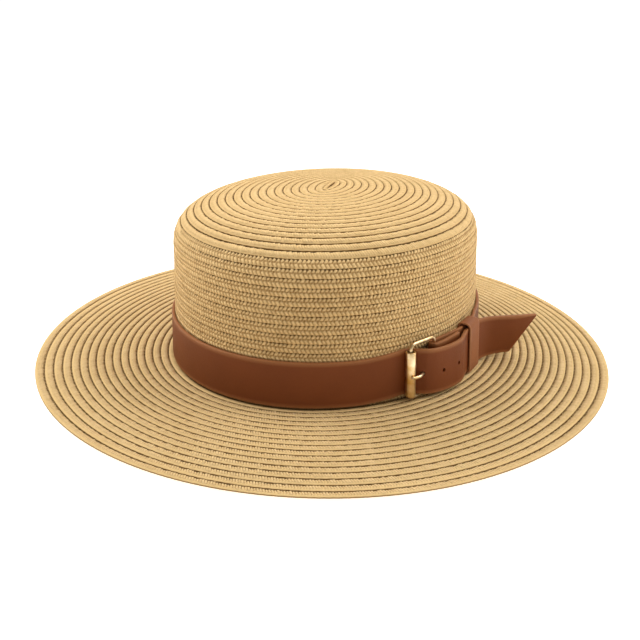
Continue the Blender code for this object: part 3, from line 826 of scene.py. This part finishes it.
def make_belt(track):
    stations = strap_stations(track.whole)
    centres = [track.place(row[0], row[1])[0] + Vector((0, 0, row[2])) for row in stations]
    lengths = np.concatenate([[0], np.cumsum([(b - a).length for a, b in zip(centres, centres[1:])])])
    rings, edges = [], []
    for i, (row, centre) in enumerate(zip(stations, centres)):
        ahead = centres[min(i + 1, len(centres) - 1)] - centres[max(i - 1, 0)]
        normal = Vector((ahead.y, -ahead.x, 0)).normalized()
        lean = row[3] - math.atan(WALL_SLOPE) * normal.dot(track.place(row[0], row[1])[1])
        cut = max(0.0, 1 - (lengths[-1] - lengths[i]) / TAIL_CUT) * (STRAP_WIDTH - TIP_WIDTH)
        up = (Vector((0, 0, 1)) * math.cos(lean) + normal * math.sin(lean)).normalized()
        across = (normal * math.cos(lean) - Vector((0, 0, 1)) * math.sin(lean)).normalized()
        outline = strap_outline(-STRAP_WIDTH / 2 + cut, STRAP_WIDTH / 2)
        rings.append(seated([centre + across * out + up * rise for out, rise, _ in outline]))
        edges.extend(near for _, _, near in outline)
    mesh = skin("belt", rings, caps=True)
    add_values(mesh, "edge", edges)
    belt = add_piece("belt", mesh)
    room = prong_line(track)
    first = room[0] + (room[0] - room[1]).normalized() * HOLE_GAP
    cutters = [rod("prong_room", [first, *room[1:]], PRONG_RADIUS + HOLE_GAP)]
    inner = HINGE_OUT + FOLD_RADIUS + STRAP_THICKNESS / 2 + GAP / 2
    outer = OVER_FOLD + BULGE_OUT + STRAP_THICKNESS * 2
    for number in range(1, SPARE_HOLES + 1):
        along = FRAME_SPAN * FIRST_HOLE_SHARE + HOLE_PITCH * number
        ends = [track.place(along, inner)[0], track.place(along, outer)[0]]
        cutters.append(rod(f"spare_hole_{number}", ends, HOLE_RADIUS))
    for mesh in cutters:
        cut_through(belt, mesh)
    belt.data.set_sharp_from_angle(angle=math.radians(40))
    return belt


def cut_through(piece, cutter_mesh):
    cutter = add_piece(cutter_mesh.name, cutter_mesh)
    cut = piece.modifiers.new(cutter.name, "BOOLEAN")
    cut.operation = "DIFFERENCE"
    cut.solver = "EXACT"
    cut.object = cutter
    made = bpy.data.meshes.new_from_object(piece.evaluated_get(bpy.context.evaluated_depsgraph_get()))
    piece.modifiers.clear()
    piece.data = made
    bpy.data.objects.remove(cutter)


def rod(name, points, radius, closed=False, round_end=False, sides=16):
    """A round rod along points that lie in one plane, its far end flat or rounded."""
    points = [Vector(p) for p in points]
    radii = [radius] * len(points)
    if round_end:
        end = (points[-1] - points[-2]).normalized()
        tip = points[-1] - end * radius
        points = [p for p in points[:-1] if (tip - p).dot(end) > 0]
        radii = [radius] * len(points)
        for degrees in (0, 20, 40, 60, 75, 87):
            turn = math.radians(degrees)
            points.append(tip + end * radius * math.sin(turn))
            radii.append(radius * math.cos(turn))
    middle = points[len(points) // 2]
    flat = (middle - points[0]).cross(points[-1 if not closed else len(points) // 4] - points[0])
    if flat.length < 1e-9:
        flat = (points[-1] - points[0]).orthogonal()
    flat.normalize()
    rings = []
    for i, (point, size) in enumerate(zip(points, radii)):
        before = points[i - 1] if closed or i else point
        after = points[(i + 1) % len(points)] if closed or i + 1 < len(points) else point
        side = (after - before).cross(flat).normalized()
        turns = [2 * math.pi * k / sides for k in range(sides)]
        rings.append(seated([point + (side * math.cos(t) + flat * math.sin(t)) * size for t in turns]))
    return skin(name, rings, closed=closed, caps=not closed)


def prong_line(track):
    """The prong's centre line: a loop round the hinge bar, then over the roller."""
    loop = FRAME_WIRE_RADIUS + PRONG_GAP + PRONG_RADIUS
    on_roller = ROLLER_OUT + ROLLER_RADIUS + GAP + PRONG_RADIUS
    turns = np.radians(np.linspace(-150, 90, 31))
    line = [(FRAME_SPAN + loop * math.cos(turn), HINGE_OUT + loop * math.sin(turn)) for turn in turns]
    start = HINGE_OUT + loop
    over = [(FRAME_SPAN * row["along"], start + (on_roller - start) * row["rise"]) for row in PRONG]
    line.extend(smooth_line([line[-1], *over], 4)[1:])
    height = STRAP_MIDDLE + PRONG_RISE
    return [track.place(along, out, height)[0] for along, out in line]


def make_frame_wire(track):
    """The buckle's wire: an upright rectangle with round corners, tighter ones at its foot."""
    roller_axis, facing = track.place(0, ROLLER_OUT, 0.0)
    toward = track.place(FRAME_SPAN, HINGE_OUT, 0.0)[0] - roller_axis
    span = toward.length
    up_wall = (Vector((0, 0, 1)) - facing * WALL_SLOPE).normalized()
    corners = (
        (span - FRAME_LOW_BEND, FRAME_LOW_BEND, FRAME_LOW_BEND, -90),
        (span - FRAME_BEND, FRAME_HEIGHT - FRAME_BEND, FRAME_BEND, 0),
        (FRAME_BEND, FRAME_HEIGHT - FRAME_BEND, FRAME_BEND, 90),
        (FRAME_LOW_BEND, FRAME_LOW_BEND, FRAME_LOW_BEND, 180),
    )
    points = []
    for along, up, bend, start in corners:
        for degrees in range(0, 91, 10):
            turn = math.radians(start + degrees)
            rise = up_wall * (FRAME_LOW + up + bend * math.sin(turn))
            points.append(roller_axis + toward.normalized() * (along + bend * math.cos(turn)) + rise)
    return add_piece("buckle_wire", rod("buckle_wire", points, FRAME_WIRE_RADIUS, closed=True, sides=20))


def make_roller(track):
    """The brass tube on the front bar, its edges a little rounded."""
    axis, facing = track.place(0, ROLLER_OUT, 0.0)
    up_wall = (Vector((0, 0, 1)) - facing * WALL_SLOPE).normalized()
    inner = ROLLER_RADIUS - ROLLER_WALL
    foot = FRAME_LOW + FRAME_LOW_BEND
    top = foot + ROLLER_LENGTH
    ease = ROLLER_WALL / 4
    profile = [(inner, foot)]
    profile += [(ROLLER_RADIUS - ease, foot), (ROLLER_RADIUS - ease * 0.3, foot + ease * 0.3)]
    profile += [(ROLLER_RADIUS, foot + ease), (ROLLER_RADIUS, top - ease)]
    profile += [(ROLLER_RADIUS - ease * 0.3, top - ease * 0.3), (ROLLER_RADIUS - ease, top), (inner, top)]
    side = up_wall.orthogonal().normalized()
    other = up_wall.cross(side)
    rings = []
    for turn in np.linspace(0, 2 * np.pi, 49)[:-1]:
        outward = side * math.cos(turn) + other * math.sin(turn)
        rings.append(seated([axis + outward * out + up_wall * up for out, up in profile]))
    piece = add_piece("roller_tube", skin("roller_tube", rings, closed=True))
    piece.data.set_sharp_from_angle(angle=math.radians(50))
    return piece


def make_keeper(track):
    """The leather loop round both turns of the strap, its edges rounded."""
    low = KEEPER_LIFT - GAP
    high = max(STRAP_LIFT + FIXED_END_LIFT, KEEPER_LIFT) + STRAP_WIDTH + GAP + KEEPER_RISE
    near = GAP + KEEPER_WALL
    far = IN_KEEPER + STRAP_THICKNESS / 2 + GAP
    corners = (
        (far - KEEPER_WALL, low + KEEPER_WALL, KEEPER_WALL, -90),
        (far - KEEPER_ROUND, high - KEEPER_ROUND, KEEPER_ROUND, 0),
        (near + KEEPER_WALL, high - KEEPER_WALL, KEEPER_WALL, 90),
        (near + KEEPER_WALL, low + KEEPER_WALL, KEEPER_WALL, 180),
    )
    loop = []
    for out, up, bend, start in corners:
        for degrees in range(0, 91, 15):
            turn = math.radians(start + degrees)
            outward = (math.cos(turn), math.sin(turn))
            loop.append((out + bend * outward[0], up + bend * outward[1], outward))
    half, wall = KEEPER_WIDTH / 2, KEEPER_WALL
    ease = wall * 0.35
    strip = [(-half + ease, 0.0, 0.5), (half - ease, 0.0, 0.5), (half, ease, 1.0), (half, wall - ease, 1.0)]
    strip += [(half - ease * 0.3, wall - ease * 0.3, 1.0), (half - ease, wall, 0.8)]
    strip += [(half * share, wall, 0.0) for share in (0.8, 0.5, 0.2, -0.2, -0.5, -0.8)]
    strip += [(-half + ease, wall, 0.8), (-half + ease * 0.3, wall - ease * 0.3, 1.0)]
    strip += [(-half, wall - ease, 1.0), (-half, ease, 1.0)]
    rings, edges = [], []
    for out, up, outward in loop:
        ring = []
        for along, thick, near_edge in strip:
            place = (out + outward[0] * thick, up + outward[1] * thick)
            ring.append(track.place(KEEPER_CENTRE + along, *place)[0])
            edges.append(near_edge)
        rings.append(seated(ring))
    mesh = skin("keeper", rings, closed=True)
    add_values(mesh, "edge", edges)
    return add_piece("keeper", mesh)


def add_camera():
    data = bpy.data.cameras.new("camera")
    data.sensor_width = SENSOR_WIDTH
    data.lens = FOCAL_SHARE * SENSOR_WIDTH
    camera = bpy.data.objects.new("camera", data)
    bpy.context.scene.collection.objects.link(camera)
    turned = Matrix.Rotation(CAMERA_AZIMUTH, 3, "Z")
    ahead = turned @ Vector((0, math.cos(CAMERA_ELEVATION), -math.sin(CAMERA_ELEVATION)))
    right = turned @ Vector((1, 0, 0))
    up = turned @ Vector((0, math.sin(CAMERA_ELEVATION), math.cos(CAMERA_ELEVATION)))
    rolled_right = right * math.cos(CAMERA_ROLL) + up * math.sin(CAMERA_ROLL)
    rolled_up = up * math.cos(CAMERA_ROLL) - right * math.sin(CAMERA_ROLL)
    facing = Matrix((rolled_right, rolled_up, -ahead)).transposed().to_4x4()
    facing.translation = CROWN_PLACE - ahead * CAMERA_DISTANCE + right * CAMERA_SIDE + up * CAMERA_UP
    camera.matrix_world = facing
    bpy.context.scene.camera = camera


def add_light(name, azimuth, elevation, distance, size, power):
    """A square soft light that faces the hat, placed by its angles round it."""
    data = bpy.data.lights.new(name, "AREA")
    data.shape = "SQUARE"
    data.size = size
    data.energy = power
    light = bpy.data.objects.new(name, data)
    bpy.context.scene.collection.objects.link(light)
    side, rise = math.radians(azimuth), math.radians(elevation)
    away = Vector((math.sin(side) * math.cos(rise), -math.cos(side) * math.cos(rise), math.sin(rise)))
    light.location = away * distance
    light.rotation_mode = "QUATERNION"
    light.rotation_quaternion = away.to_track_quat("Z", "Y")


def add_studio():
    world = bpy.data.worlds.new("studio")
    bpy.context.scene.world = world
    world.use_nodes = True
    background = world.node_tree.nodes["Background"]
    background.inputs["Color"].default_value = (1.0, 1.0, 1.0, 1.0)
    background.inputs["Strength"].default_value = SKY_STRENGTH
    bpy.ops.mesh.primitive_circle_add(vertices=64, radius=FLOOR_RADIUS, fill_type="NGON")
    floor = bpy.context.object
    floor.name = "floor"
    pale = Finish("pale_floor", 0.9, specular=0.0)
    pale.colour((FLOOR_TONE, FLOOR_TONE, FLOOR_TONE))
    pale.shader.inputs["Emission Color"].default_value = (1.0, 1.0, 1.0, 1.0)
    pale.shader.inputs["Emission Strength"].default_value = FLOOR_GLOW
    floor.data.materials.append(pale.material)
    for light in LIGHTS:
        add_light(**light)
    bpy.context.scene.view_settings.view_transform = "Standard"


add_camera()

crown_braid = Braid(crown_surface, crown_row, -1, CROWN_ROWS)
brim_braid = Braid(brim_surface, brim_row, 0.25 - 1, 0.25 + BRIM_ROWS - 1)
crown_straw = straw("crown_straw", (227, 192, 134), (206, 170, 112), CROWN_SIDE_ROW)
dress(braid_ribbon("crown_braid", crown_braid), crown_straw, "crown_straw", "crown")
brim_straw = straw("brim_straw", (233, 200, 142), (214, 180, 121), 2 * BRIM_ROWS)
dress(braid_ribbon("brim_braid", brim_braid), brim_straw, "brim_straw", "brim")

strands = strand_tree()
crown_strands_straw = strand_straw("crown_strand_straw", (236, 201, 142), (212, 175, 116))
brim_strands_straw = strand_straw("brim_strand_straw", (237, 205, 150), (215, 181, 125))
crown_stretches = (
    (0.5, CROWN_SIDE_ROW, FLAT_PITCH, FLAT_STRANDS),
    (CROWN_SIDE_ROW, CROWN_ROWS - 1, KNIT_PITCH, KNIT_STRANDS),
)
brim_stretches = ((0.25, BRIM_ROWS - 1 + 0.25, FLAT_PITCH, FLAT_STRANDS),)
crown_strands = braid_strands(
    "crown_strands", crown_braid, crown_stretches, KNIT_STRAND_WIDTH, strands, crown_strands_straw, 3
)
brim_strands = braid_strands(
    "brim_strands", brim_braid, brim_stretches, FLAT_STRAND_WIDTH, strands, brim_strands_straw, 5
)
dress(crown_strands, crown_strands_straw, "crown_straw")
dress(brim_strands, brim_strands_straw, "brim_straw")

wall = WallTrack(STRAP_MIDDLE)
belt_leather = leather("belt_leather", (120, 62, 26), (156, 100, 58))
keeper_leather = leather("keeper_leather", (144, 88, 52), (172, 116, 76))
dress(make_belt(wall), belt_leather, "band_leather", "band")
dress(make_keeper(wall), keeper_leather, "keeper_leather", "keeper_loop")
frame_finish = brass("frame_finish", (236, 212, 170), (190, 156, 104))
dress(make_frame_wire(wall), frame_finish, "frame_brass", "buckle_frame")
dress(make_roller(wall), brass("roller_finish", (244, 220, 176), (212, 172, 104)), "roller_brass", "roller")
prong = add_piece("prong_pin", rod("prong_pin", prong_line(wall), PRONG_RADIUS, round_end=True))
dress(prong, brass("prong_finish", (240, 214, 172), (204, 168, 116)), "prong_brass", "prong")

add_studio()
